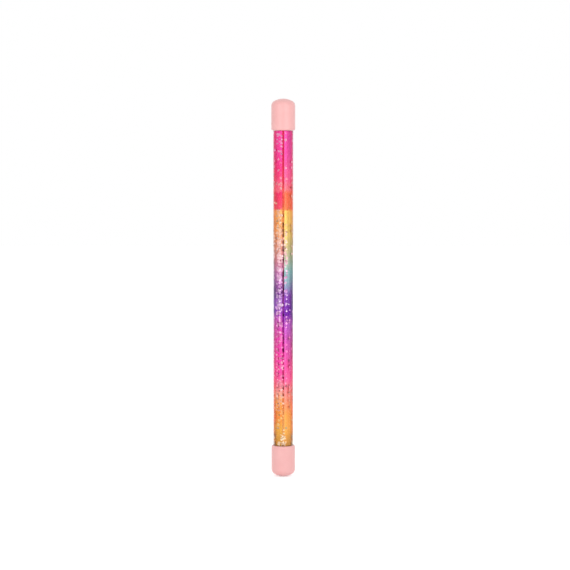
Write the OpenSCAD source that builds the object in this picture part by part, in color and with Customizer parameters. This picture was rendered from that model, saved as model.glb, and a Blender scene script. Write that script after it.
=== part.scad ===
// Liquid-filled glitter wand: a clear tube round a rainbow-wrapped core, closed by two pink caps.
// The wand stands along Z, with the tip of its lower cap at the origin and the film's seam towards -Y.

/* [Wand] */
// Length over both caps
wand_l = 305; // [230:1:400]

/* [Clear tube] */
// Outside diameter of the clear tube
tube_od = 16; // [14.5:0.5:22]
// Wall of the clear tube
tube_wall = 0.8; // [0.6:0.1:1.2]

/* [Core] */
// Radial width of the liquid channel between the film and the clear tube
channel_w = 1.7; // [1.6:0.1:2.4]
// Thickness of the rainbow film
film_t = 0.1; // [0.05:0.05:0.3]
// Gap between the two long edges of the wrapped film
seam_gap = 1.5; // [0.4:0.1:2]
// Space between the seam strip and each edge of the film
seam_clear = 0.04; // [0.02:0.01:0.1]
// Wall of the core tube
core_wall = 0.8; // [0.5:0.1:1.5]

/* [Caps] */
// Length of a cap
cap_l = 25.4; // [20:0.2:35]
// Wall of a cap round the clear tube
cap_wall = 1.52; // [1.45:0.01:3]
// Glue gap between a cap and the clear tube
cap_clear = 0.05; // [0.02:0.01:0.15]
// Plastic between a cap's tip and the floor of its socket
cap_floor = 4.6; // [4.2:0.1:7]
// Radius of the crowned end
crown_r = 15; // [13:0.5:40]
// Radius between the crowned end and the side
corner_r = 4.5; // [2:0.25:6]
// Rounding at the mouth
lip_r = 1.4; // [0.4:0.1:1.4]

/* [Plugs] */
// Thickness of a plug's flange
flange_t = 1.5; // [1:0.1:3]
// How far a cap's mouth reaches past the plug inside it
cap_cover = 0.8; // [0.4:0.1:3]
// Radial play of a plug in the clear tube
plug_clear = 0.05; // [0.02:0.01:0.15]
// Length of a plug's spigot in the core tube
spigot_l = 10; // [5:0.5:20]
// Radial play of a spigot in the core tube
spigot_clear = 0.05; // [0.02:0.01:0.15]

/* [Seal rings] */
// Cord diameter of a seal ring
seal_d = 1.5; // [1:0.1:2]
// Space round a seal ring in its groove and at the clear tube
seal_clear = 0.03; // [0.02:0.01:0.1]
// Share of a plug's depth in the tube at which its seal ring lies
seal_share = 0.5; // [0.3:0.05:0.7]

/* [Liquid] */
// Height of the air that is left above the liquid
air_h = 0.9; // [0.5:0.1:20]
// Length of the flat air bubble that lies against the clear tube at the front
bubble_l = 14; // [5:0.5:25]
// Thickness of the bubble
bubble_t = 0.5; // [0.3:0.05:0.8]
// Share of its free way that the bubble hangs above the lower plug
bubble_share = 0.795; // [0.7:0.005:0.95]
// Space between the bubble's side and the nearest lane of flakes, in lane widths
bubble_side = 0.75; // [0.6:0.05:1]
// Space between the liquid's solid and the walls that it wets
liquid_clear = 0.05; // [0.03:0.01:0.1]
// Space between the liquid's solid and the flakes and stars in it
pocket_clear = 0.05; // [0.03:0.01:0.1]

/* [Glitter flakes] */
// Size of a six-sided flake over its corners
flake_d = 2; // [1.2:0.1:2.2]
// Thickness of a flake
flake_t = 0.1; // [0.05:0.01:0.2]
// Height of channel for each flake in a lane
flake_pitch = 12.5; // [5:0.5:20]
// Least gap between flakes in neighbouring lanes
lane_gap = 0.3; // [0.2:0.05:0.6]
// Radial space between the layers in the channel
layer_clear = 0.1; // [0.05:0.01:0.15]
// Length of each drift of flakes
drift_l = 100; // [50:5:120]
// Height of the settled drift above the lower plug
settled_up = 0.5; // [0.2:0.1:5]
// Share of the free way below the bubble that the low drift has risen
low_share = 0.3; // [0.1:0.01:0.6]
// Share of the free way below the bubble that the middle drift has risen
middle_share = 0.99; // [0.6:0.01:1]
// Share of the free way in the liquid that the high drift has risen
high_share = 0.97; // [0.6:0.01:1]

/* [Star sequins] */
// Size of a star sequin over its points
star_d = 5; // [3:0.1:6]
// Share of a star's radius at which its inner corners lie
star_notch = 0.5; // [0.4:0.01:0.8]
// Thickness of a star sequin
star_t = 0.12; // [0.1:0.01:0.2]
// Hole in a star sequin
star_hole_d = 0.8; // [0.4:0.1:1.2]
// Height of a lane's lowest star above the lower plug
star_up = 0.3; // [0.2:0.1:2]
// Gap between the stars of a lane
star_gap = 0.8; // [0.4:0.1:5]
// Stars in a lane
stars_in_lane = 2; // [1:1:6]

/* [Hidden] */

$fn = 96;
eps = 0.01;
front = -90;

tube_r = tube_od / 2;
bore_r = tube_r - tube_wall;
film_r = bore_r - channel_w;
core_r = film_r - film_t;
core_bore_r = core_r - core_wall;

socket_r = tube_r + cap_clear;
cap_r = socket_r + cap_wall;
corner_x = cap_r - corner_r;
// Height at which the rounded corner runs into the straight side
side_z = crown_r - sqrt(pow(crown_r - corner_r, 2) - pow(corner_x, 2));
// Radius at which the crown runs into the rounded corner
crown_x = corner_x * crown_r / (crown_r - corner_r);

tube_z = cap_floor + flange_t;
tube_l = wand_l - 2 * tube_z;
channel_z = cap_l - cap_cover;
channel_l = wand_l - 2 * channel_z;
plug_l = channel_z - tube_z;
liquid_l = channel_l - air_h;
bubble_up = bubble_share * (liquid_l - bubble_l);

seal_z = tube_z + seal_share * plug_l;
seal_ring_r = bore_r - seal_clear - seal_d / 2;
groove_r = seal_ring_r - seal_d / 2 - seal_clear;
groove_w = seal_d + 2 * seal_clear;

// The star sequins lie flat on the film, and the flakes drift outside them
star_in_r = film_r + layer_clear;
star_out_r = sqrt(pow(star_in_r + star_t, 2) + pow(star_d / 2, 2));
star_lanes = 4;
star_points = 5;
// Turn of the stars from lane to lane, and from star to star in a lane
lane_turn = 17;
star_turn = 25;
// A star's pointed outline has to grow this much more than its faces for the same space all round
star_grow = 3;

flake_in_r = star_out_r + pocket_clear + layer_clear;
flake_edge_r = bore_r - liquid_clear - pocket_clear - layer_clear;
flake_out_r = sqrt(pow(flake_edge_r, 2) - pow(flake_d / 2, 2));
flake_r = (flake_in_r + flake_out_r) / 2;
// Most that a flake's edge can lift off its layer, and the tilt that this gives
flake_lift = (flake_out_r - flake_in_r - flake_t) / 2;
most_tilt = 30;
flake_tilt = min(most_tilt, asin(min(1, flake_lift / (flake_d / 2))));
// A six-sided flake looks the same after this turn
flake_turn = 60;
drifts = 4;
lanes_per_drift = floor(PI * 2 * flake_in_r / (flake_d + lane_gap) / drifts);
lanes = drifts * lanes_per_drift;
flakes_in_lane = floor(drift_l / flake_pitch);
// Free way of a drift below the bubble, and in the whole height of the liquid
low_way = bubble_up - drift_l - 2 * settled_up;
high_way = liquid_l - drift_l - 2 * settled_up;
drift_up = [settled_up, settled_up + middle_share * low_way, settled_up + low_share * low_way,
    settled_up + high_share * high_way];
high_lane = 3;
bubble_arc = 2 * (high_lane - bubble_side) * 360 / lanes;

module ring(outer_r, inner_r, height) {
    rotate_extrude()
        translate([inner_r, 0])
            square([outer_r - inner_r, height]);
}

// Turns a piece of the lower end into its partner at the upper end
module at_top() {
    translate([0, 0, wand_l])
        rotate([180, 0, 0])
            children();
}

// Half of a cap's section: crowned end, rounded corner, straight side and rounded mouth
module cap_section() {
    difference() {
        union() {
            intersection() {
                translate([0, crown_r])
                    circle(crown_r);
                square([crown_x, side_z]);
            }
            translate([corner_x, side_z])
                intersection() {
                    circle(corner_r);
                    translate([0, -corner_r])
                        square([corner_r, 2 * corner_r]);
                }
            translate([0, side_z])
                square([cap_r, cap_l - lip_r - side_z]);
            translate([0, cap_l - lip_r - eps])
                square([cap_r - lip_r, lip_r + eps]);
            translate([cap_r - lip_r, cap_l - lip_r])
                circle(lip_r);
        }
        translate([-eps, cap_floor])
            square([socket_r + eps, cap_l]);
    }
}

module cap() {
    rotate_extrude()
        cap_section();
}

// Flange under the tube's end, body in the bore with a seal groove, and spigot in the core
module plug() {
    difference() {
        union() {
            translate([0, 0, cap_floor])
                cylinder(r = tube_r, h = flange_t);
            translate([0, 0, tube_z])
                cylinder(r = bore_r - plug_clear, h = plug_l);
            translate([0, 0, channel_z])
                cylinder(r = core_bore_r - spigot_clear, h = spigot_l);
        }
        translate([0, 0, seal_z - groove_w / 2])
            ring(tube_r, groove_r, groove_w);
    }
}

module seal_ring() {
    translate([0, 0, seal_z])
        rotate_extrude()
            translate([seal_ring_r, 0])
                circle(d = seal_d);
}

module film_layer() {
    translate([0, 0, channel_z])
        ring(film_r, core_r, channel_l);
}

// Slab along the front of the core that marks out the film's seam
module seam_slab(width) {
    rotate([0, 0, front])
        translate([0, -width / 2, channel_z - eps])
            cube([tube_r, width, channel_l + 2 * eps]);
}

// One flake, lying in its layer at a lane's angle and tilted about a line in its own plane
module flake(lane_angle, height, spin, tilt, tilt_way, grow) {
    rotate([0, 0, lane_angle])
        translate([flake_r, 0, height])
            rotate(a = tilt, v = [0, cos(tilt_way), sin(tilt_way)])
                rotate([0, 90, 0])
                    rotate([0, 0, spin])
                        linear_extrude(flake_t + 2 * grow, center = true)
                            circle(d = flake_d + 2 * grow, $fn = 6);
}

// Lanes are dealt out to the drifts in order, the same way on both sides of the seam
function drift_of(lane) = min(lane, lanes - lane) % drifts;

// All flakes of one drift: each keeps to its own share of its lane, so none meets another
module glitter(drift, grow = 0) {
    bottom = channel_z + drift_up[drift];
    room = flake_pitch - flake_d;
    for (lane = [0:lanes - 1])
        if (drift_of(lane) == drift) {
            place = rands(0, room, flakes_in_lane, lane + 1);
            spin = rands(0, flake_turn, flakes_in_lane, lane + 101);
            tilt = rands(-flake_tilt, flake_tilt, flakes_in_lane, lane + 201);
            way = rands(0, 180, flakes_in_lane, lane + 301);
            for (i = [0:flakes_in_lane - 1])
                flake(front + lane * 360 / lanes, bottom + i * flake_pitch + flake_d / 2 + place[i],
                    spin[i], tilt[i], way[i], grow);
        }
}

module star_outline(radius) {
    step = 180 / star_points;
    polygon([for (i = [0:2 * star_points - 1])
        (i % 2 == 0 ? radius : radius * star_notch) * [cos(i * step), sin(i * step)]]);
}

// Puts a flat outline where each star of a lane lies, from in_r outwards, one above the other
module at_stars(lane, in_r, thickness) {
    for (i = [0:stars_in_lane - 1])
        rotate([0, 0, front + lane * 360 / star_lanes])
            translate([in_r, 0, channel_z + star_up + star_d / 2 + i * (star_d + star_gap)])
                rotate([0, 90, 0])
                    rotate([0, 0, 180 + lane * lane_turn + i * star_turn])
                        linear_extrude(thickness)
                            children();
}

module stars(lane) {
    at_stars(lane, star_in_r, star_t)
        difference() {
            star_outline(star_d / 2);
            circle(d = star_hole_d);
        }
}

// Hollow in the liquid round the stars of a lane, open towards the film that they lie on
module star_pockets(lane) {
    at_stars(lane, core_r, star_in_r - core_r + star_t + pocket_clear)
        star_outline(star_d / 2 + star_grow * pocket_clear);
}

module lower_cap() {
    color("#fcc0be")
        cap();
}

module upper_cap() {
    color("#fcc0be")
        at_top()
            cap();
}

module lower_plug() {
    color("#f3e6dc")
        plug();
}

module upper_plug() {
    color("#f3e6dc")
        at_top()
            plug();
}

module lower_seal_ring() {
    color("#d9d4d0")
        seal_ring();
}

module upper_seal_ring() {
    color("#d9d4d0")
        at_top()
            seal_ring();
}

module clear_tube() {
    color("#f4f8fa", 0.3)
        translate([0, 0, tube_z])
            ring(tube_r, bore_r, tube_l);
}

module core_tube() {
    color("#e9e4ee")
        translate([0, 0, channel_z])
            ring(core_r, core_bore_r, channel_l);
}

module rainbow_film() {
    color("#e8509a")
        difference() {
            film_layer();
            seam_slab(seam_gap);
        }
}

module seam_strip() {
    color("#7a2342")
        intersection() {
            film_layer();
            seam_slab(seam_gap - 2 * seam_clear);
        }
}

// Hollow that an air bubble leaves in the liquid, between the lanes of the high drift
module bubble() {
    rotate([0, 0, front - bubble_arc / 2])
        translate([0, 0, channel_z + bubble_up])
            rotate_extrude(angle = bubble_arc)
                translate([bore_r - liquid_clear - bubble_t, 0])
                    square([tube_wall + bubble_t, bubble_l]);
}

// The liquid lies round every flake and star as they are at rest
module liquid_fill() {
    color("#ffe9f2", 0.2)
        difference() {
            translate([0, 0, channel_z + liquid_clear])
                ring(bore_r - liquid_clear, film_r + liquid_clear, liquid_l - liquid_clear);
            bubble();
            for (drift = [0:drifts - 1])
                glitter(drift, pocket_clear);
            for (lane = [0:star_lanes - 1])
                star_pockets(lane);
        }
}

module settled_glitter() {
    color("#f2b45c")
        glitter(0);
}

module low_glitter() {
    color("#f58ac0")
        glitter(2);
}

module middle_glitter() {
    color("#f9c9dc")
        glitter(1);
}

module high_glitter() {
    color("#f7a6d0")
        glitter(3);
}

module front_stars() {
    color("#fad5ad")
        stars(0);
}

module right_stars() {
    color("#fad5ad")
        stars(1);
}

module back_stars() {
    color("#fad5ad")
        stars(2);
}

module left_stars() {
    color("#fad5ad")
        stars(3);
}

lower_cap();
lower_plug();
lower_seal_ring();
clear_tube();
core_tube();
rainbow_film();
seam_strip();
liquid_fill();
settled_glitter();
low_glitter();
middle_glitter();
high_glitter();
front_stars();
right_stars();
back_stars();
left_stars();
upper_seal_ring();
upper_plug();
upper_cap();
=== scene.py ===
# Liquid-filled glitter wand: the finish of each piece, in the order it is put together, and a plain studio.
from math import asin, cos, hypot, pi, radians, sin, tau

import bmesh
import bpy
from mathutils import Matrix, Vector


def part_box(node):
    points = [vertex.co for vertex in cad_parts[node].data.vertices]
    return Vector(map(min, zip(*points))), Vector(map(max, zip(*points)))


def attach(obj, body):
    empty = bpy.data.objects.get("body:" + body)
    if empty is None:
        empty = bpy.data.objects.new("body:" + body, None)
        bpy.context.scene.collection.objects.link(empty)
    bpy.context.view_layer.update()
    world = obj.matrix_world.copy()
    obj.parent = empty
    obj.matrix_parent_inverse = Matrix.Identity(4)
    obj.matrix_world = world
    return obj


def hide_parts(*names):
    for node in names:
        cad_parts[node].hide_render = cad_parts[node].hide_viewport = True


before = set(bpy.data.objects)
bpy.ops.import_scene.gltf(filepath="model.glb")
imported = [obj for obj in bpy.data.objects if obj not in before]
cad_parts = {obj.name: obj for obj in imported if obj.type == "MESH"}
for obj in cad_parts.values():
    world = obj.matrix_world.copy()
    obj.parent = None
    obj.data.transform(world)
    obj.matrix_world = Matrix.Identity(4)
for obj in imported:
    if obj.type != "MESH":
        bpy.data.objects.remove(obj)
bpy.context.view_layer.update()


# Core tube: extruded polystyrene tube, which carries the film and narrows the liquid to a thin channel.
# It is cut square and held at both ends by the plugs' spigots, so only the film on it is seen.
mm = 0.001


def linear(hex_colour):
    """An sRGB hex colour as linear RGBA."""
    channels = [int(hex_colour[i:i + 2], 16) / 255 for i in (1, 3, 5)]
    return [c / 12.92 if c <= 0.04045 else ((c + 0.055) / 1.055) ** 2.4 for c in channels] + [1]


def add(tree, kind, inputs=(), **settings):
    """Adds a node with its settings; its inputs are set, or linked to a socket or a node's first output."""
    added = tree.nodes.new(kind)
    for name, value in settings.items():
        setattr(added, name, value)
    for name, value in dict(inputs).items():
        if isinstance(value, bpy.types.Node):
            value = value.outputs[0]
        if isinstance(value, bpy.types.NodeSocket):
            tree.links.new(value, added.inputs[name])
        else:
            added.inputs[name].default_value = value
    return added


def new_material(name, **constants):
    """A material, its node tree and its shader, with the sockets that are the same all over the surface."""
    material = bpy.data.materials.new(name)
    material.use_nodes = True
    shader = material.node_tree.nodes["Principled BSDF"]
    for socket, value in constants.items():
        shader.inputs[socket.replace("_", " ")].default_value = value
    return material, material.node_tree, shader


def colour_stops(ramp, stops):
    """Fills a colour ramp with stops of a place and a hex colour, or a place and a grey share."""
    while len(ramp.elements) < len(stops):
        ramp.elements.new(1)
    for element, (place, tone) in zip(ramp.elements, stops):
        element.position = place
        element.color = linear(tone) if isinstance(tone, str) else (tone, tone, tone, 1)


def mottle(tree, shader, size, tones=(), dulls=(), detail=2, along=1):
    """Varies a shader's colour between tones, and its roughness between two values, by noise of a real size.

    The noise is returned. Along is its pace along the wand, as a share of its pace across."""
    place = add(tree, "ShaderNodeTexCoord").outputs["Object"]
    if along != 1:
        place = add(tree, "ShaderNodeMapping", {"Vector": place, "Scale": (1, 1, along)})
    noise = add(tree, "ShaderNodeTexNoise", {"Vector": place, "Scale": 1 / size, "Detail": detail})
    if tones:
        ramp = add(tree, "ShaderNodeValToRGB", {"Fac": noise})
        # Most of the noise lies between these
        low, high = 0.3, 0.7
        step = (high - low) / (len(tones) - 1)
        colour_stops(ramp.color_ramp, [(low + i * step, tone) for i, tone in enumerate(tones)])
        tree.links.new(ramp.outputs[0], shader.inputs["Base Color"])
    if dulls:
        dull = add(tree, "ShaderNodeMapRange", {"Value": noise, "To Min": dulls[0], "To Max": dulls[1]})
        tree.links.new(dull.outputs[0], shader.inputs["Roughness"])
    return noise


# Extruded polystyrene is pale and slightly milky, with faint draw lines along its length
polystyrene, tree, shader = new_material("Extruded polystyrene", IOR=1.59)
draw_line_gap = 0.6 * mm
mottle(tree, shader, draw_line_gap, ("#E4DFEA", "#F0ECF4"), dulls=(0.35, 0.5), detail=3, along=0.01)
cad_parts["core_tube"].material_slots[0].material = polystyrene


# Rainbow film: metallised polyester, printed in a rainbow and wrapped once round the core, its long edges in
# front. The print isn't the same at its two edges, so the colours on the two sides of the seam don't meet.
film_low, film_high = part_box("rainbow_film")
film_r, film_z, film_top = film_high.x, film_low.z, film_high.z
core_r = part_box("core_tube")[1].x
seam_w = 1.5 * mm
seam_half = asin(seam_w / 2 / film_r)

# Colours of the print left and right of the seam, at heights on the wand in millimetres
print_left = (
    (25, "#D09848"), (40, "#F0B050"), (48, "#F49048"), (60, "#F8A450"), (66, "#FCAC84"), (74, "#FF8898"),
    (84, "#FC52A4"), (112, "#EC50B0"), (128, "#D660C4"), (134, "#9848C4"), (142, "#B874D8"),
    (148, "#7C449C"), (163, "#C478B8"), (182, "#E49C8C"), (203, "#FFB066"), (215.6, "#FFB46C"),
    (216.6, "#FC5C70"), (230, "#F83E70"), (231, "#FF7488"), (247, "#F84080"), (262, "#F8489A"),
)
print_right = (
    (25, "#CC9650"), (40, "#F8B058"), (52, "#FFA858"), (72, "#FF8A92"), (80, "#FF6AA6"), (92, "#F45CA8"),
    (127, "#B862C8"), (133, "#7428A6"), (148, "#8C50B4"), (159, "#94B4C0"), (166, "#94C0C0"),
    (180, "#C4C49C"), (196, "#ECCC78"), (215.6, "#FFC668"), (216.6, "#FF8458"), (230, "#FF7858"),
    (232, "#FF8288"), (240, "#FF6A98"), (262, "#F456A8"),
)
# Tints of the glitter in front of it
glitter_tints = (
    (35, "#FFE2B6"), (44, "#FCCC7C"), (54, "#FCB274"), (64, "#FFBC9A"), (80, "#FC84B2"), (110, "#F680C0"),
    (126, "#F29CDA"), (142, "#ECC8F6"), (150, "#D09AD8"), (160, "#F6BAEA"), (180, "#FFD2D0"),
    (205, "#FFCC9C"), (228, "#FAB09E"), (245, "#FA92B0"), (262, "#F69AC8"),
)
# Share of the film that clinging glitter covers, left and right of the seam
cover_left = (
    (25, 0.25), (45, 0.35), (58, 0.6), (66, 0.75), (75, 0.6), (90, 0.45), (125, 0.5), (132, 0.45),
    (138, 0.85), (145, 0.8), (151, 0.5), (157, 0.85), (212, 0.85), (222, 0.55), (238, 0.5), (243, 0.15),
    (254, 0.1), (258, 0.3), (264, 0.15), (271, 0.35), (278, 0.7),
)
cover_right = (
    (25, 0.15), (58, 0.3), (75, 0.3), (90, 0.2), (110, 0.35), (127, 0.45), (133, 0.1), (147, 0.75),
    (156, 0.95), (188, 0.75), (202, 0.15), (225, 0.3), (237, 0.4), (243, 0.12), (258, 0.3), (265, 0.1),
    (272, 0.3), (280, 0.1),
)


def as_object(name, shape, crease):
    """Turns a bmesh into an object, smooth but for edges sharper than the crease."""
    mesh = bpy.data.meshes.new(name)
    shape.to_mesh(mesh)
    shape.free()
    mesh.shade_smooth()
    mesh.set_sharp_from_angle(angle=crease)
    made = bpy.data.objects.new(name, mesh)
    bpy.context.collection.objects.link(made)
    return made


def close_shell(shape):
    """Merges a bmesh's doubled points and turns its faces outwards."""
    same_place = 1e-5 * mm
    bmesh.ops.remove_doubles(shape, verts=shape.verts, dist=same_place)
    bmesh.ops.recalc_face_normals(shape, faces=shape.faces)


def revolve(name, section, steps, start=0.0, sweep=tau, crease=radians(30)):
    """Turns a closed section of (radius, height) points about the wand's axis into a mesh object."""
    whole = sweep == tau
    shape = bmesh.new()
    columns = []
    for step in range(steps if whole else steps + 1):
        angle = start + sweep * step / steps
        columns.append([shape.verts.new((r * cos(angle), r * sin(angle), z)) for r, z in section])
    ends = columns[1:] + columns[:1] if whole else columns[1:]
    for here, there in zip(columns, ends):
        for i, (r, z) in enumerate(section):
            j = (i + 1) % len(section)
            if r > 0 or section[j][0] > 0:
                shape.faces.new((here[i], there[i], there[j], here[j]))
    if not whole:
        shape.faces.new(columns[0])
        shape.faces.new(reversed(columns[-1]))
    close_shell(shape)
    return as_object(name, shape, crease)


def by_height(tree, height, stops):
    """Adds a ramp along the film to a tree, with stops of a height on the wand in millimetres and a tone."""
    along = add(tree, "ShaderNodeMapRange", {"Value": height, "From Min": film_z, "From Max": film_top})
    ramp = add(tree, "ShaderNodeValToRGB", {"Fac": along})
    film_l = film_top - film_z
    colour_stops(ramp.color_ramp, [((mark * mm - film_z) / film_l, tone) for mark, tone in stops])
    return ramp


def turn_and_height(tree, place):
    """Adds to a tree a place's angle from the wand's front, towards its right, and its height."""
    x, y, z = add(tree, "ShaderNodeSeparateXYZ", {"Vector": place}).outputs
    forward = add(tree, "ShaderNodeMath", {0: y, 1: -1.0}, operation="MULTIPLY")
    return add(tree, "ShaderNodeMath", {0: x, 1: forward}, operation="ARCTAN2"), z


film_section = ((core_r, film_z), (film_r, film_z), (film_r, film_top), (core_r, film_top))
film_wrap = revolve("film_wrap", film_section, steps=240,
                    start=-pi / 2 + seam_half, sweep=tau - 2 * seam_half)

# A flake's tint comes from its height. Its luck adds painted shade to a few, as if turned away and dark,
# and a painted highlight to some, whitening them as if they caught a lamp
tree = glitter_tint_shade_and_glint = bpy.data.node_groups.new("Glitter tint with painted shade and glint", "ShaderNodeTree")
for name, way, kind in (("Height", "INPUT", "Float"), ("Luck", "INPUT", "Float"),
                        ("Tint", "OUTPUT", "Color")):
    tree.interface.new_socket(name=name, in_out=way, socket_type="NodeSocket" + kind)
painted_glint_from, painted_glint_most = 0.65, 0.35
given = add(tree, "NodeGroupInput").outputs
# Painted shade: a few flakes, by luck, are darkened to about half
painted_turned_away_shade = add(tree, "ShaderNodeValToRGB", {"Fac": given["Luck"]})
colour_stops(painted_turned_away_shade.color_ramp, ((0.0, 0.5), (0.08, 0.55), (0.13, 0.86), (0.6, 1.0)))
tint = by_height(tree, given["Height"], glitter_tints)
tint = add(tree, "ShaderNodeVectorMath", {0: tint, 1: painted_turned_away_shade}, operation="MULTIPLY")
# Painted highlight: luckier flakes are mixed toward near-white
painted_glint = add(tree, "ShaderNodeMapRange", {"Value": given["Luck"], "From Min": painted_glint_from,
                                         "To Max": painted_glint_most})
tint = add(tree, "ShaderNodeMix", {0: painted_glint, 6: tint, 7: linear("#FFF8F2")}, data_type="RGBA").outputs[2]
add(tree, "NodeGroupOutput", {"Tint": tint})

# Glitter clings to the film in whole flakes, one in a cell of the pattern: as the liquid left it in front,
# in patches behind, and nowhere in the middle of the seam or behind the liquid's air bubble
tree = clinging = bpy.data.node_groups.new("Clinging glitter", "ShaderNodeTree")
for name, kind in (("Flake", "Float"), ("Tint", "Color"), ("Normal", "Vector")):
    tree.interface.new_socket(name=name, in_out="OUTPUT", socket_type="NodeSocket" + kind)
cling_size, cling_rim, cling_core, cling_lean = 1.8 * mm, 0.7, 0.55, 0.5
patch_size, patch_cover = 22 * mm, 0.75
bubble_low, bubble_high, bubble_half = 216.1 * mm, 230.1 * mm, radians(50.6)
bare_bubble, bare_seam = 1.1 * bubble_half, 1.3 * seam_half
# Angles from the front, in radians, where each side's glitter is none and full, and the back's patches are
left_fade, right_fade, back_fade = (-1.2, -0.8), (0.65, 0.35), (1.3, 1.8)
noise_low, noise_high = 0.35, 0.65
place = add(tree, "ShaderNodeTexCoord").outputs["Object"]
cells = add(tree, "ShaderNodeTexVoronoi", {"Vector": place, "Scale": 1 / cling_size})
luck = add(tree, "ShaderNodeSeparateColor", {"Color": cells.outputs["Color"]}).outputs
angle, z = turn_and_height(tree, cells.outputs["Position"])
half_turn = add(tree, "ShaderNodeMath", {0: angle}, operation="ABSOLUTE")
covers = []
for shares, (bare, full) in ((cover_left, left_fade), (cover_right, right_fade)):
    fade = add(tree, "ShaderNodeMapRange", {"Value": angle, "From Min": bare, "From Max": full})
    share = by_height(tree, z, shares)
    covers.append(add(tree, "ShaderNodeMath", {0: share, 1: fade}, operation="MULTIPLY"))
on_right = add(tree, "ShaderNodeMath", {0: angle, 1: 0.0}, operation="GREATER_THAN")
front_cover = add(tree, "ShaderNodeMix", {"Factor": on_right, "A": covers[0], "B": covers[1]})
patches = add(tree, "ShaderNodeTexNoise", {"Vector": place, "Scale": 1 / patch_size, "Detail": 1.0})
back_cover = add(tree, "ShaderNodeMapRange", {"Value": patches, "From Min": noise_low,
                                              "From Max": noise_high, "To Max": patch_cover})
to_back = add(tree, "ShaderNodeMapRange", {"Value": half_turn, "From Min": back_fade[0],
                                           "From Max": back_fade[1]})
cover = add(tree, "ShaderNodeMix", {"Factor": to_back, "A": front_cover, "B": back_cover})
over_bubble = add(tree, "ShaderNodeMath", {0: z, 1: bubble_high}, operation="GREATER_THAN")
under_bubble = add(tree, "ShaderNodeMath", {0: z, 1: bubble_low}, operation="LESS_THAN")
beside_bubble = add(tree, "ShaderNodeMath", {0: half_turn, 1: bare_bubble}, operation="GREATER_THAN")
off_bubble = add(tree, "ShaderNodeMath", {0: over_bubble, 1: under_bubble}, operation="ADD")
wet = add(tree, "ShaderNodeMath", {0: off_bubble, 1: beside_bubble}, operation="MAXIMUM")
off_seam = add(tree, "ShaderNodeMath", {0: half_turn, 1: bare_seam}, operation="GREATER_THAN")
cover = add(tree, "ShaderNodeMath", {0: cover, 1: wet}, operation="MULTIPLY")
cover = add(tree, "ShaderNodeMath", {0: cover, 1: off_seam}, operation="MULTIPLY")
disc = add(tree, "ShaderNodeMapRange", {"Value": cells, "From Min": cling_rim, "From Max": cling_core})
held = add(tree, "ShaderNodeMath", {0: luck["Red"], 1: cover}, operation="LESS_THAN")
flake = add(tree, "ShaderNodeMath", {0: held, 1: disc}, operation="MULTIPLY")
# Each clinging flake's tint, with its painted shade or painted highlight
tint = add(tree, "ShaderNodeGroup", {"Height": z, "Luck": luck["Green"]}, node_tree=glitter_tint_shade_and_glint)
lean = add(tree, "ShaderNodeVectorMath", {0: cells.outputs["Color"], 1: (0.5, 0.5, 0.5)},
           operation="SUBTRACT")
flake_lean = add(tree, "ShaderNodeMath", {0: flake, 1: cling_lean}, operation="MULTIPLY")
lean = add(tree, "ShaderNodeVectorMath", {0: lean, "Scale": flake_lean}, operation="SCALE")
flat = add(tree, "ShaderNodeNewGeometry").outputs["Normal"]
facet = add(tree, "ShaderNodeVectorMath", {0: flat, 1: lean}, operation="ADD")
facet = add(tree, "ShaderNodeVectorMath", {0: facet}, operation="NORMALIZE")
add(tree, "NodeGroupOutput", {"Flake": flake, "Tint": tint, "Normal": facet})


def lay_glitter(tree, shader, colour, gloss):
    """Lays the clinging glitter over a film's colour, and links the film's shader."""
    glitter = add(tree, "ShaderNodeGroup", node_tree=clinging).outputs
    mixed = add(tree, "ShaderNodeMix", {0: glitter["Flake"], 6: colour, 7: glitter["Tint"]},
                data_type="RGBA")
    tree.links.new(mixed.outputs[2], shader.inputs["Base Color"])
    tree.links.new(gloss.outputs[0], shader.inputs["Roughness"])
    tree.links.new(glitter["Normal"], shader.inputs["Normal"])


# Metallised polyester mirrors softly under its print, in streaks along the roll. The print of one edge
# blends into the other's round the back. Towards the sides its colour is squared and darkened, as painted
# shade for the darker flanks of a lit cylinder.
metallised, tree, shader = new_material("Metallised polyester, printed, with painted flank shade", Metallic=1.0)
broad_streak, fine_streak, fine_share, streak_pull = 2.2 * mm, 0.6 * mm, 0.4, 5 * mm
streak_along, streak_dark, streak_light = 0.03, 0.86, 1.12
blend_from, blend_to = 0.55, 0.85
flank_from, flank_to, flank_shade_most, flank_shade_tone = 0.8, 1.4, 0.6, 0.85
place = add(tree, "ShaderNodeTexCoord").outputs["Object"]
angle, z = turn_and_height(tree, place)
turns = add(tree, "ShaderNodeMath", {0: angle, 1: tau}, operation="DIVIDE")
round_film = add(tree, "ShaderNodeMath", {0: turns, 1: 1.0}, operation="FLOORED_MODULO")
to_left = add(tree, "ShaderNodeMapRange", {"Value": round_film, "From Min": blend_from,
                                           "From Max": blend_to}, interpolation_type="SMOOTHSTEP")
drawn = add(tree, "ShaderNodeMapping", {"Vector": place, "Scale": (1, 1, streak_along)})
broad = add(tree, "ShaderNodeTexNoise", {"Vector": drawn, "Scale": 1 / broad_streak, "Detail": 1.0})
fine = add(tree, "ShaderNodeTexNoise", {"Vector": drawn, "Scale": 1 / fine_streak, "Detail": 2.0})
streaks = add(tree, "ShaderNodeMix", {"Factor": fine_share, "A": broad, "B": fine})
pull = add(tree, "ShaderNodeMapRange", {"Value": broad, "To Min": -streak_pull / 2,
                                        "To Max": streak_pull / 2})
printed_z = add(tree, "ShaderNodeMath", {0: z, 1: pull}, operation="ADD")
right_colour = by_height(tree, printed_z, print_right)
left_colour = by_height(tree, printed_z, print_left)
colour = add(tree, "ShaderNodeMix", {0: to_left, 6: right_colour, 7: left_colour},
             data_type="RGBA").outputs[2]
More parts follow.
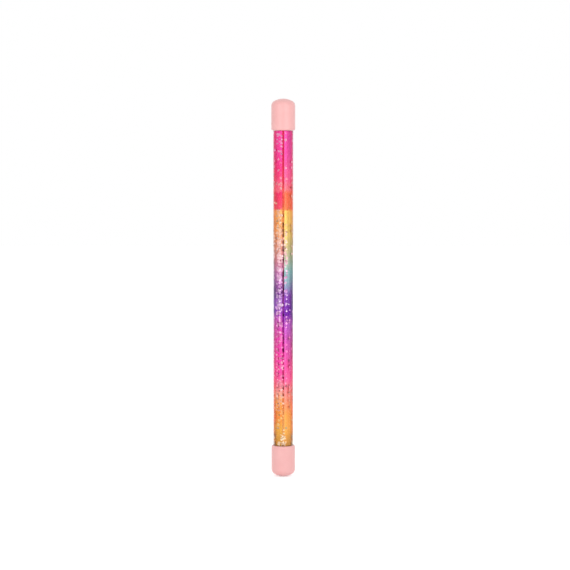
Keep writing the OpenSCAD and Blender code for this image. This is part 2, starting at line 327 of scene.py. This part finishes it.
# Painted shade: the colour is deepened and darkened towards the film's flanks, by its angle round the wand
half_turn = add(tree, "ShaderNodeMath", {0: angle}, operation="ABSOLUTE")
flank_shade_share = add(tree, "ShaderNodeMapRange", {"Value": half_turn, "From Min": flank_from, "From Max": flank_to,
                                            "To Max": flank_shade_most}, interpolation_type="SMOOTHSTEP")
flank_shaded = add(tree, "ShaderNodeVectorMath", {0: colour, 1: colour}, operation="MULTIPLY")
flank_shaded = add(tree, "ShaderNodeVectorMath", {0: flank_shaded, "Scale": flank_shade_tone}, operation="SCALE")
colour = add(tree, "ShaderNodeMix", {0: flank_shade_share, 6: colour, 7: flank_shaded}, data_type="RGBA").outputs[2]
streak_tone = add(tree, "ShaderNodeMapRange", {"Value": streaks, "From Min": noise_low,
                                               "From Max": noise_high, "To Min": streak_dark,
                                               "To Max": streak_light})
streaked = add(tree, "ShaderNodeVectorMath", {0: colour, "Scale": streak_tone}, operation="SCALE")
gloss = add(tree, "ShaderNodeMapRange", {"Value": streaks, "To Min": 0.32, "To Max": 0.45})
lay_glitter(tree, shader, streaked, gloss)
film_wrap.data.materials.append(metallised)
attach(film_wrap, "wand")
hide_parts("rainbow_film")


# Seam strip: a narrow strip of film, stuck to the core where the wrap's long edges end, in colours darker
# than the print's as painted shade for the gap between the edges. It lies in that gap, darker still in
# spots, and flakes lap over its edges.
# The print's colours, darkened as painted shade for the gap between the wrap's edges
seam_shaded_tones = (
    (25, "#E8A860"), (40, "#F0A860"), (64, "#E87E4C"), (72, "#EE7A7A"), (80, "#DA3E76"), (108, "#BC247E"),
    (130, "#7E2496"), (146, "#7C387E"), (152, "#602A64"), (172, "#B0667E"), (190, "#DC8A7E"),
    (198, "#E28E50"), (216, "#E08248"), (222, "#EA584E"), (231, "#EE6058"), (236, "#DE404E"),
    (262, "#D63256"),
)
spot_shares = (
    (25, 0.0), (55, 0.05), (62, 0.3), (75, 0.4), (115, 0.4), (126, 0.2), (142, 0.3), (150, 0.55),
    (190, 0.5), (214, 0.55), (217, 0.08), (260, 0.15), (272, 0.0),
)

# The strip's metal is mottled, and darker in spots
seam_shade_film, tree, shader = new_material("Metallised polyester, seam strip in painted shade", Metallic=1.0)
spot_gap, spot_rim, spot_core, spot_dark = 3.6 * mm, 0.68, 0.5, 0.66
seam_grain, grain_dark, grain_light = 1.2 * mm, 0.75, 1.1
place = add(tree, "ShaderNodeTexCoord").outputs["Object"]
z = add(tree, "ShaderNodeSeparateXYZ", {"Vector": place}).outputs["Z"]
spots = add(tree, "ShaderNodeTexVoronoi", {"Vector": place, "Scale": 1 / spot_gap})
luck = add(tree, "ShaderNodeSeparateColor", {"Color": spots.outputs["Color"]}).outputs["Red"]
in_dark_spot = add(tree, "ShaderNodeMath", {0: luck, 1: by_height(tree, z, spot_shares)}, operation="LESS_THAN")
disc = add(tree, "ShaderNodeMapRange", {"Value": spots, "From Min": spot_rim, "From Max": spot_core})
spot = add(tree, "ShaderNodeMath", {0: in_dark_spot, 1: disc}, operation="MULTIPLY")
spot_tone = add(tree, "ShaderNodeMath", {0: spot, 1: -spot_dark, 2: 1.0}, operation="MULTIPLY_ADD")
grains = add(tree, "ShaderNodeTexNoise", {"Vector": place, "Scale": 1 / seam_grain, "Detail": 2.0})
grain_tone = add(tree, "ShaderNodeMapRange", {"Value": grains, "From Min": 0.3, "From Max": 0.7,
                                              "To Min": grain_dark, "To Max": grain_light})
tone = add(tree, "ShaderNodeMath", {0: grain_tone, 1: spot_tone}, operation="MULTIPLY")
# Painted shade: the strip's colour is the print's, darkened
colour = by_height(tree, z, seam_shaded_tones)
spotted = add(tree, "ShaderNodeVectorMath", {0: colour, "Scale": tone}, operation="SCALE")
gloss = add(tree, "ShaderNodeMapRange", {"Value": grains, "To Min": 0.3, "To Max": 0.5})
lay_glitter(tree, shader, spotted, gloss)
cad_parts["seam_strip"].material_slots[0].material = seam_shade_film


# Plugs: stepped polypropylene mouldings that close the clear tube at both ends and centre the core on their
# spigots. Each is pushed in as far as its flange.

# Moulded polypropylene is creamy and faintly cloudy, and a spark-eroded mould leaves it matt. The grain is
# drawn coarser than it is, so that it shows.
polypropylene, tree, shader = new_material("Moulded polypropylene", IOR=1.49)
flow_size, spark_grain, spark_depth = 6 * mm, 0.25 * mm, 0.02 * mm
mottle(tree, shader, flow_size, ("#EFE1D6", "#F6EBE2"), detail=3)
pits = mottle(tree, shader, spark_grain, dulls=(0.4, 0.6))
bump = add(tree, "ShaderNodeBump", {"Height": pits, "Strength": 0.2, "Distance": spark_depth})
tree.links.new(bump.outputs[0], shader.inputs["Normal"])
for plug in ("lower_plug", "upper_plug"):
    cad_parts[plug].material_slots[0].material = polypropylene


# Seal rings: round cords of soft silicone rubber, which keep the liquid in.
# Each is moulded in one turn and lies stretched in a plug's groove.

# Moulded silicone is pale grey, with a satin skin
silicone, tree, shader = new_material("Moulded silicone rubber", IOR=1.41)
skin_grain = 0.3 * mm
mottle(tree, shader, skin_grain, ("#CFC9C5", "#DED9D5"), dulls=(0.45, 0.65), detail=3)
for ring in ("lower_seal_ring", "upper_seal_ring"):
    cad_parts[ring].material_slots[0].material = silicone


# Clear tube: extruded acrylic, cut square and polished, glued into the caps at both ends.
# The liquid wets the bore and hides it, because the two bend light almost alike.
tube_low, tube_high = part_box("clear_tube")
liquid_low, liquid_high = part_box("liquid_fill")
tube_wall, tube_edge, hair = 0.8 * mm, 0.15 * mm, 0.01 * mm
tube_r = tube_high.x
bore_r = tube_r - tube_wall
tube_shell = revolve("tube_shell", (
    (bore_r, tube_low.z), (tube_r - tube_edge, tube_low.z), (tube_r, tube_low.z + tube_edge),
    (tube_r, tube_high.z - tube_edge), (tube_r - tube_edge, tube_high.z), (bore_r, tube_high.z),
    (bore_r, liquid_high.z), (bore_r, liquid_low.z)), steps=192)

# Polished acrylic is water-clear, with a faint wipe haze from handling. Its mirroring of the white surround
# is held back by a grey tint, because it would veil the print.
acrylic, tree, shader = new_material("Extruded acrylic, polished", IOR=1.49, Transmission_Weight=1.0,
                                     Specular_Tint=linear("#404040"))
haze_size = 5 * mm
mottle(tree, shader, haze_size, ("#FBFCFD", "#FFFFFF"), dulls=(0.0, 0.03), detail=4)

# Where the bore is wet, only the small step from acrylic to liquid is left
wet_acrylic, tree, shader = new_material("Extruded acrylic, wetted bore", IOR=1.014, Transmission_Weight=1.0,
                                         Roughness=0.0)
mottle(tree, shader, haze_size, ("#FDFDFE", "#FFFFFF"))
tube_shell.data.materials.append(acrylic)
tube_shell.data.materials.append(wet_acrylic)
for face in tube_shell.data.polygons:
    in_bore = hypot(face.center.x, face.center.y) < bore_r + hair
    if in_bore and liquid_low.z < face.center.z < liquid_high.z:
        face.material_index = 1
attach(tube_shell, "wand")
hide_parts("clear_tube")


# Star sequins: five-pointed stars, stamped with a hole and embossed ridges from metallised sheet, loose in
# the liquid. They are the heaviest pieces in it and have settled on the lower plug, flat against the film.
star_points, star_d, star_notch, star_hole = 5, 5 * mm, 0.5, 0.8 * mm
star_t, star_rise, star_valley = 0.12 * mm, 0.4 * mm, 0.35
star_up, star_step, star_gap, stars_in_lane = 0.3 * mm, 4.85 * mm, 0.1 * mm, 2
lane_turn, star_turn, star_crease = radians(17), radians(25), radians(5)


def star_sequin(shape, matrix):
    """Adds one embossed star to a bmesh: flat points, a raised rim round the hole, ridges between them."""
    corners = 2 * star_points
    rings = []
    for height in (star_t, 0.0):
        outline, rim = [], []
        for i in range(corners):
            way = Vector((cos(i * tau / corners), sin(i * tau / corners), 0))
            reach = star_d / 2 * (star_notch if i % 2 else 1)
            lift = star_rise * (star_valley if i % 2 else 1)
            outline.append(shape.verts.new(matrix @ (way * reach + Vector((0, 0, height)))))
            rim.append(shape.verts.new(matrix @ (way * star_hole / 2 + Vector((0, 0, height + lift)))))
        rings.append((outline, rim))
    (outline, rim), (outline_under, rim_under) = rings
    for i in range(corners):
        j = (i + 1) % corners
        shape.faces.new((rim[i], outline[i], outline[j], rim[j]))
        shape.faces.new((rim_under[j], outline_under[j], outline_under[i], rim_under[i]))
        shape.faces.new((outline[i], outline_under[i], outline_under[j], outline[j]))
        shape.faces.new((rim[j], rim_under[j], rim_under[i], rim[i]))


# Metallised sheet is a soft mirror; each star's facets take the light differently
sequin, tree, shader = new_material("Metallised sequin sheet", Metallic=1.0)
sheen_size = 1.5 * mm
mottle(tree, shader, sheen_size, ("#FBD8AC", "#FDE2C0", "#FFEBD4"), dulls=(0.28, 0.42))
for lane, side in enumerate(("front", "right", "back", "left")):
    shape = bmesh.new()
    for i in range(stars_in_lane):
        middle_z = film_z + star_up + star_d / 2 + i * star_step
        star_sequin(shape, Matrix.Rotation(-pi / 2 + lane * pi / 2, 4, "Z")
                    @ Matrix.Translation((film_r + star_gap, 0, middle_z))
                    @ Matrix.Rotation(pi / 2, 4, "Y")
                    @ Matrix.Rotation(pi + lane * lane_turn + i * star_turn, 4, "Z"))
    bmesh.ops.recalc_face_normals(shape, faces=shape.faces)
    star_pair = as_object(side + "_star_pair", shape, star_crease)
    star_pair.data.materials.append(sequin)
    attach(star_pair, side + "_star_lane")
    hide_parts(side + "_stars")


# Glitter flakes: six-sided chips cut from metallised foil, loose in the liquid, in four drifts at different
# heights. Each drift keeps to its own upright lanes, so the drifts can sink past each other.
tree = flake_tree = bpy.data.node_groups.new("Flakes in lanes", "GeometryNodeTree")
flake_inputs = {}
for name, kind in (("Lanes", "Geometry"), ("Flakes in a lane", "Int"), ("Smallest", "Float"),
                   ("Largest", "Float"), ("Lane width", "Float"), ("Lift", "Float"), ("Shift", "Float"),
                   ("Seed", "Int"), ("Foil", "Material")):
    socket = tree.interface.new_socket(name=name, in_out="INPUT", socket_type="NodeSocket" + kind)
    flake_inputs[name] = socket.identifier
tree.interface.new_socket(name="Flakes", in_out="OUTPUT", socket_type="NodeSocketGeometry")
given = add(tree, "NodeGroupInput").outputs
seeds = [given["Seed"]]
for step in range(4):
    seeds.append(add(tree, "ShaderNodeMath", {0: seeds[-1], 1: 1.0}, operation="ADD"))

# Flakes stand along each lane, as crowded as the lane says where they are
paths = add(tree, "GeometryNodeMeshToCurve", {"Mesh": given["Lanes"]})
spots = add(tree, "GeometryNodeCurveToPoints", {"Curve": paths, "Count": given["Flakes in a lane"]},
            mode="COUNT")
crowd = add(tree, "GeometryNodeInputNamedAttribute", {"Name": "crowd"}, data_type="FLOAT")
draw = add(tree, "FunctionNodeRandomValue", {2: 0.0, 3: 1.0, 8: seeds[3]}, data_type="FLOAT").outputs[1]
left_out = add(tree, "ShaderNodeMath", {0: draw, 1: crowd}, operation="GREATER_THAN")
spots = add(tree, "GeometryNodeDeleteGeometry", {"Geometry": spots, "Selection": left_out}, domain="POINT")

# Each moves aside within its lane's width, and a little up or down
size = add(tree, "FunctionNodeRandomValue", {2: given["Smallest"], 3: given["Largest"], 8: seeds[0]},
           data_type="FLOAT").outputs[1]
swing = add(tree, "FunctionNodeRandomValue", {0: (-1, -1, -1), 1: (1, 1, 1), 8: seeds[1]},
            data_type="FLOAT_VECTOR")
swing = add(tree, "ShaderNodeSeparateXYZ", {0: swing}).outputs
spot = add(tree, "GeometryNodeInputPosition")
level = add(tree, "ShaderNodeVectorMath", {0: spot, 1: (1, 1, 0)}, operation="MULTIPLY")
outward = add(tree, "ShaderNodeVectorMath", {0: level}, operation="NORMALIZE")
sideways = add(tree, "ShaderNodeVectorMath", {0: (0, 0, 1), 1: outward}, operation="CROSS_PRODUCT")
room = add(tree, "ShaderNodeMath", {0: given["Lane width"], 1: size}, operation="SUBTRACT")
half_room = add(tree, "ShaderNodeMath", {0: room, 1: 0.5}, operation="MULTIPLY")
aside = add(tree, "ShaderNodeMath", {0: swing["X"], 1: half_room}, operation="MULTIPLY")
aside = add(tree, "ShaderNodeVectorMath", {0: sideways, "Scale": aside}, operation="SCALE")
rise = add(tree, "ShaderNodeMath", {0: swing["Y"], 1: given["Shift"]}, operation="MULTIPLY")
rise = add(tree, "ShaderNodeCombineXYZ", {"Z": rise})
offset = add(tree, "ShaderNodeVectorMath", {0: aside, 1: rise}, operation="ADD")
spread = add(tree, "GeometryNodeSetPosition", {"Geometry": spots, "Offset": offset})

# Each faces outwards, spun at random and tilted no further than the channel's depth lets it
half_size = add(tree, "ShaderNodeMath", {0: size, 1: 0.5}, operation="MULTIPLY")
most_tilt = add(tree, "ShaderNodeMath", {0: given["Lift"], 1: half_size}, operation="DIVIDE")
tilt = add(tree, "ShaderNodeMath", {0: swing["Z"], 1: most_tilt}, operation="MULTIPLY")
spin = add(tree, "FunctionNodeRandomValue", {2: 0.0, 3: tau, 8: seeds[2]}, data_type="FLOAT").outputs[1]
facing = add(tree, "FunctionNodeAlignRotationToVector", {"Vector": outward}, axis="Z")
for axis, turn in (("Z", spin), ("X", tilt)):
    turn = add(tree, "ShaderNodeCombineXYZ", {axis: turn})
    turn = add(tree, "FunctionNodeEulerToRotation", {0: turn})
    facing = add(tree, "FunctionNodeRotateRotation", {0: facing, 1: turn}, rotation_space="LOCAL")

# A chip is one across before it is scaled to its size
chip_across, chip_t = 1.0, 0.04
chip = add(tree, "GeometryNodeMeshCylinder", {"Vertices": 6, "Radius": chip_across / 2, "Depth": chip_t})
chip = add(tree, "GeometryNodeSetShadeSmooth", {"Geometry": chip, "Shade Smooth": False})
chips = add(tree, "GeometryNodeInstanceOnPoints", {"Points": spread, "Instance": chip, "Rotation": facing,
                                                   "Scale": size})
# A chip's luck, kept as its tint, picks its painted shade or painted highlight in the foil
tint = add(tree, "FunctionNodeRandomValue", {2: 0.0, 3: 1.0, 8: seeds[4]}, data_type="FLOAT").outputs[1]
tinted = add(tree, "GeometryNodeStoreNamedAttribute", {"Geometry": chips, "Name": "tint", "Value": tint},
             data_type="FLOAT", domain="INSTANCE")
loose = add(tree, "GeometryNodeRealizeInstances", {"Geometry": tinted})
foiled = add(tree, "GeometryNodeSetMaterial", {"Geometry": loose, "Material": given["Foil"]})
add(tree, "NodeGroupOutput", {0: foiled})

# The lanes pass outside the stars' tips and inside the bubble, and end below the liquid's surface
lane_count, drift_order = 16, ("settled", "middle", "low", "high")
lane_r, lane_w, flake_lift, surface_room = 6.5 * mm, 2.3 * mm, 0.22 * mm, 0.8 * mm
largest, smallest, shift_share, scuff_size = 2.0 * mm, 0.9 * mm, 0.35, 0.5 * mm
side_lanes = lane_count // 4
other_crowd = (0.7, 0.7)
# Each drift's slot, foil and flakes in a lane, and their share at the two ends of its left and right lanes
drifts = {
    "settled": ("gold_flakes", "Metallised foil, gold", 26, other_crowd, other_crowd),
    "low": ("pink_flakes", "Metallised foil, hot pink", 42, (0.8, 1.0), (0.7, 0.15)),
    "middle": ("pearl_flakes", "Metallised foil, pearl", 46, (0.9, 0.9), (0.3, 0.3)),
    "high": ("pink_flakes", "Metallised foil, rose", 36, (0.6, 0.1), (0.35, 0.2)),
}
for drift, (slot, foil_name, count, left_crowd, right_crowd) in drifts.items():
    low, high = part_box(drift + "_glitter")
    shift = shift_share * (high.z - low.z) / count
    lane_ends = (low.z + largest / 2 + shift, high.z - surface_room - largest / 2 - shift)
    shape = bmesh.new()
    crowd = shape.verts.layers.float.new("crowd")
    for lane in range(lane_count):
        if drift_order[min(lane, lane_count - lane) % len(drift_order)] == drift:
            angle = -pi / 2 + lane * tau / lane_count
            on_left, on_right = lane > lane_count - side_lanes, 0 < lane < side_lanes
            shares = right_crowd if on_right else left_crowd if on_left else other_crowd
            ends = []
            for height, share in zip(lane_ends, shares):
                ends.append(shape.verts.new((lane_r * cos(angle), lane_r * sin(angle), height)))
                ends[-1][crowd] = share
            shape.edges.new(ends)
    lanes = as_object(drift + "_lanes", shape, pi)

    # Metallised foil under tinted lacquer: a clear mirror. By their luck a few chips get painted shade and
    # some a painted highlight, so some look a little darker or lighter than others
    foil, tree, shader = new_material(foil_name, Metallic=1.0)
    place = add(tree, "ShaderNodeTexCoord").outputs["Object"]
    z = add(tree, "ShaderNodeSeparateXYZ", {"Vector": place}).outputs["Z"]
    chip_shade_and_glint_luck = add(tree, "ShaderNodeAttribute", attribute_name="tint").outputs["Fac"]
    tone = add(tree, "ShaderNodeGroup", {"Height": z, "Luck": chip_shade_and_glint_luck}, node_tree=glitter_tint_shade_and_glint)
    tree.links.new(tone.outputs[0], shader.inputs["Base Color"])
    mottle(tree, shader, scuff_size, dulls=(0.24, 0.34))

    # The seeds are more than five apart, because the tree uses five in a row
    scatter = lanes.modifiers.new("Flakes", "NODES")
    scatter.node_group = flake_tree
    sizes = {"Flakes in a lane": count, "Smallest": smallest, "Largest": largest, "Lane width": lane_w,
             "Lift": flake_lift, "Shift": shift, "Seed": 10 * count, "Foil": foil}
    for name, value in sizes.items():
        scatter[flake_inputs[name]] = value
    mesh = bpy.data.meshes.new_from_object(lanes.evaluated_get(bpy.context.evaluated_depsgraph_get()))
    bpy.data.objects.remove(lanes)
    flakes = bpy.data.objects.new(drift + "_flakes", mesh)
    bpy.context.collection.objects.link(flakes)
    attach(flakes, drift + "_drift")
    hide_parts(drift + "_glitter")


# Liquid: clear, slightly thick mineral oil that fills the channel to just under the upper cap's mouth.
# One air bubble hangs in it at the front, rounded by surface tension, a hair clear of the film and the bore.
liquid_in_r, liquid_out_r = film_r + hair, bore_r - 2 * hair
creep, creep_w, creep_steps, surface_tilt = 0.12 * mm, 0.4 * mm, 5, 0.05
turns = [i * pi / 2 / creep_steps for i in range(1, creep_steps + 1)]
meniscus = [(creep_w * sin(turn), liquid_high.z - creep * (1 - cos(turn))) for turn in turns]
liquid_section = [(liquid_in_r, liquid_low.z), (liquid_out_r, liquid_low.z), (liquid_out_r, liquid_high.z)]
liquid_section += [(liquid_out_r - reach, z) for reach, z in meniscus]
liquid_section += [(liquid_in_r + reach, z) for reach, z in reversed(meniscus)]
liquid_section.append((liquid_in_r, liquid_high.z))
liquid_column = revolve("liquid_column", liquid_section, steps=160)

bubble_r, bubble_depth, bubble_corner, bubble_crease = 7.02 * mm, 0.14 * mm, 4.6 * mm, radians(40)
least_corner, most_inset = 0.05, 0.98
bubble_wide, bubble_tall = bubble_half * bubble_r, (bubble_high - bubble_low) / 2
bubble_z, bubble_reach = (bubble_low + bubble_high) / 2, most_inset * (bubble_wide - bubble_depth)
corner_steps, side_steps, round_steps, flat_steps = 8, 8, 6, 7


def bubble_outline(inset):
    """Points round the bubble's outline, drawn in by an inset, as (along the arc, up) from its middle."""
    wide, tall = bubble_wide - inset, bubble_tall - inset
    corner = max(bubble_corner - inset, least_corner * min(wide, tall))
    corners = []
    for quarter in range(4):
        right = wide - corner if quarter in (0, 3) else corner - wide
        up = tall - corner if quarter in (0, 1) else corner - tall
        turns = [(quarter + i / corner_steps) * pi / 2 for i in range(corner_steps + 1)]
        corners.append([(right + corner * cos(turn), up + corner * sin(turn)) for turn in turns])
    points = []
    for here, there in zip(corners, corners[1:] + corners[:1]):
        (x, z), (to_x, to_z) = here[-1], there[0]
        shares = [i / side_steps for i in range(1, side_steps)]
        points += here + [(x + (to_x - x) * share, z + (to_z - z) * share) for share in shares]
    return points


insets = [bubble_depth * (1 - cos(i * pi / 2 / round_steps)) for i in range(round_steps + 1)]
insets += [bubble_depth + bubble_reach * i / flat_steps for i in range(1, flat_steps + 1)]
shape = bmesh.new()
for side in (1, -1):
    rings = []
    for inset in insets:
        r = bubble_r + side * (bubble_depth ** 2 - max(bubble_depth - inset, 0) ** 2) ** 0.5
        outline = [(x / bubble_r, bubble_z + z) for x, z in bubble_outline(inset)]
        rings.append([shape.verts.new((r * sin(angle), -r * cos(angle), z)) for angle, z in outline])
    for step, (ring, inner) in enumerate(zip(rings, rings[1:])):
        for i in range(len(ring)):
            j = (i + 1) % len(ring)
            face = shape.faces.new((ring[i], ring[j], inner[j], inner[i]))
            face.material_index = 1 if step < round_steps else 0
    shape.faces.new(rings[-1])
close_shell(shape)
bmesh.ops.reverse_faces(shape, faces=shape.faces)
shape.from_mesh(liquid_column.data)
bpy.data.objects.remove(liquid_column)
liquid_column = as_object("liquid_column", shape, bubble_crease)

# Against the film and the bore, oil shows no surface of its own; against air, it has a bright, smooth one
oil_cloud = 20 * mm
for name, bend in (("Mineral oil, against a wall", 1.0), ("Mineral oil, free surface", 1.47)):
    oil, tree, shader = new_material(name, IOR=bend, Transmission_Weight=1.0, Roughness=0.0)
    mottle(tree, shader, oil_cloud, ("#FFFBFC", "#FFFFFF"))
    liquid_column.data.materials.append(oil)
for face in liquid_column.data.polygons:
    if face.center.z > liquid_high.z - creep and abs(face.normal.z) > surface_tilt:
        face.material_index = 1
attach(liquid_column, "liquid")
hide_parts("liquid_fill")


# Caps: thick-walled mouldings in soft pink plastic, crowned at the end and rounded at the mouth.
# Each is pressed over the tube as far as the plug's flange and glued.
cap_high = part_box("lower_cap")[1]
wand_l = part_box("upper_cap")[1].z
cap_r, cap_l = cap_high.x, cap_high.z
socket_r, socket_edge, cap_floor = 8.05 * mm, 0.1 * mm, 4.6 * mm
crown_r, shoulder_r, lip_r = 15 * mm, 4.5 * mm, 1.4 * mm
gate_r, gate_slope, gate_depth = 1.1 * mm, 0.15 * mm, 0.12 * mm
crown_steps, shoulder_steps, lip_steps = 24, 16, 12
shoulder_x = cap_r - shoulder_r
shoulder_z = crown_r - ((crown_r - shoulder_r) ** 2 - shoulder_x ** 2) ** 0.5
crown_start, crown_end = asin(gate_r / crown_r), asin(shoulder_x / (crown_r - shoulder_r))
cap_section = [(0, gate_depth), (gate_r - gate_slope, gate_depth)]
for i in range(crown_steps + 1):
    turn = crown_start + (crown_end - crown_start) * i / crown_steps
    cap_section.append((crown_r * sin(turn), crown_r - crown_r * cos(turn)))
for i in range(1, shoulder_steps + 1):
    turn = crown_end + (pi / 2 - crown_end) * i / shoulder_steps
    cap_section.append((shoulder_x + shoulder_r * sin(turn), shoulder_z - shoulder_r * cos(turn)))
for i in range(lip_steps + 1):
    turn = i * pi / 2 / lip_steps
    cap_section.append((cap_r - lip_r + lip_r * cos(turn), cap_l - lip_r + lip_r * sin(turn)))
cap_section += [(socket_r + socket_edge, cap_l), (socket_r, cap_l - socket_edge), (socket_r, cap_floor),
                (0, cap_floor)]

# A fine spark-eroded mould gives the pink plastic a satin gloss, with slight clouding in the colour. The
# grain is drawn coarser than it is, so that it shows.
pink_plastic, tree, shader = new_material("Moulded ABS, soft pink", IOR=1.53)
cloud_size, mould_grain, mould_depth = 9 * mm, 0.35 * mm, 0.01 * mm
mottle(tree, shader, cloud_size, ("#FBB9B7", "#FDBFBD"), detail=4)
grain = mottle(tree, shader, mould_grain, dulls=(0.26, 0.38))
bump = add(tree, "ShaderNodeBump", {"Height": grain, "Strength": 0.15, "Distance": mould_depth})
tree.links.new(bump.outputs[0], shader.inputs["Normal"])
for end in ("lower", "upper"):
    section = cap_section if end == "lower" else [(r, wand_l - z) for r, z in cap_section]
    cap_shell = revolve(end + "_cap_shell", section, steps=144)
    cap_shell.data.materials.append(pink_plastic)
    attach(cap_shell, "wand")
    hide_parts(end + "_cap")


# Studio: a white floor under a white surround, and two tall softboxes either side of the camera.
# The floor and the surround show as white; the light on the wand is separate and plain.
scene = bpy.context.scene
scene.view_settings.view_transform = "Standard"
# Light is mirrored and bent many times between the tube, the flakes and the film
light_turns = 24
scene.cycles.max_bounces = light_turns
scene.cycles.transmission_bounces = light_turns
scene.cycles.glossy_bounces = light_turns

# The view is centred a little to the right of the wand's middle and above it
wand_middle = Vector((0, 0, wand_l / 2))
view_aside, view_up, view_rise, view_distance = 1.4 * mm, 3.0 * mm, radians(4.7), 1.55
aim = wand_middle + Vector((view_aside, 0, view_up))
camera = bpy.data.cameras.new("Camera")
camera.lens = 121.5
camera.sensor_width = 36
camera_object = bpy.data.objects.new("Camera", camera)
camera_object.location = aim + view_distance * Vector((0, -cos(view_rise), sin(view_rise)))
camera_object.rotation_euler = (pi / 2 - view_rise, 0, 0)
bpy.context.collection.objects.link(camera_object)
scene.camera = camera_object

softbox_w, softbox_h, softbox_aside, softbox_ahead = 0.65, 1.4, 0.53, 0.85
for side, energy in ((-1, 3.0), (1, 3.7)):
    softbox = bpy.data.lights.new("Softbox", "AREA")
    softbox.shape = "RECTANGLE"
    softbox.size, softbox.size_y = softbox_w, softbox_h
    softbox.energy = energy
    softbox_object = bpy.data.objects.new("Softbox", softbox)
    softbox_object.location = wand_middle + Vector((side * softbox_aside, -softbox_ahead, 0.0))
    towards_wand = wand_middle - softbox_object.location
    softbox_object.rotation_euler = towards_wand.to_track_quat("-Z", "Y").to_euler()
    bpy.context.collection.objects.link(softbox_object)


def background_rays(tree):
    """Adds 1 for the rays that show the background, straight, mirrored or bent, and 0 for the others."""
    path = add(tree, "ShaderNodeLightPath").outputs
    seen = add(tree, "ShaderNodeMath", {0: path["Is Camera Ray"], 1: path["Is Glossy Ray"]},
               operation="MAXIMUM")
    return add(tree, "ShaderNodeMath", {0: seen, 1: path["Is Transmission Ray"]}, operation="MAXIMUM")


world = bpy.data.worlds.new("Surround")
world.use_nodes = True
scene.world = world
tree = world.node_tree
background = tree.nodes["Background"].inputs
surround_light = 0.7
scattered = add(tree, "ShaderNodeLightPath").outputs["Diffuse Depth"]
direct = add(tree, "ShaderNodeMath", {0: scattered, 1: 0.5}, operation="LESS_THAN")
shown = add(tree, "ShaderNodeMath", {0: background_rays(tree), 1: direct}, operation="MULTIPLY")
strength = add(tree, "ShaderNodeMapRange", {"Value": shown, "To Min": surround_light, "To Max": 1.0})
tree.links.new(strength.outputs[0], background["Strength"])
background["Color"].default_value = linear("#FFFFFF")

# White card has a faint fibre, and shows as white to the eye while it keeps the wand's shadow
shape = bmesh.new()
floor_half, card_fibre, card_glow = 3, 2 * mm, 0.45
bmesh.ops.create_grid(shape, x_segments=1, y_segments=1, size=floor_half)
floor = as_object("Floor", shape, pi)
white_card, tree, shader = new_material("White card", IOR=1.5, Roughness=0.8,
                                        Emission_Color=linear("#FFFFFF"))
mottle(tree, shader, card_fibre, ("#F6F6F6", "#FAFAFA"))
glow = add(tree, "ShaderNodeMath", {0: background_rays(tree), 1: card_glow}, operation="MULTIPLY")
tree.links.new(glow.outputs[0], shader.inputs["Emission Strength"])
floor.data.materials.append(white_card)
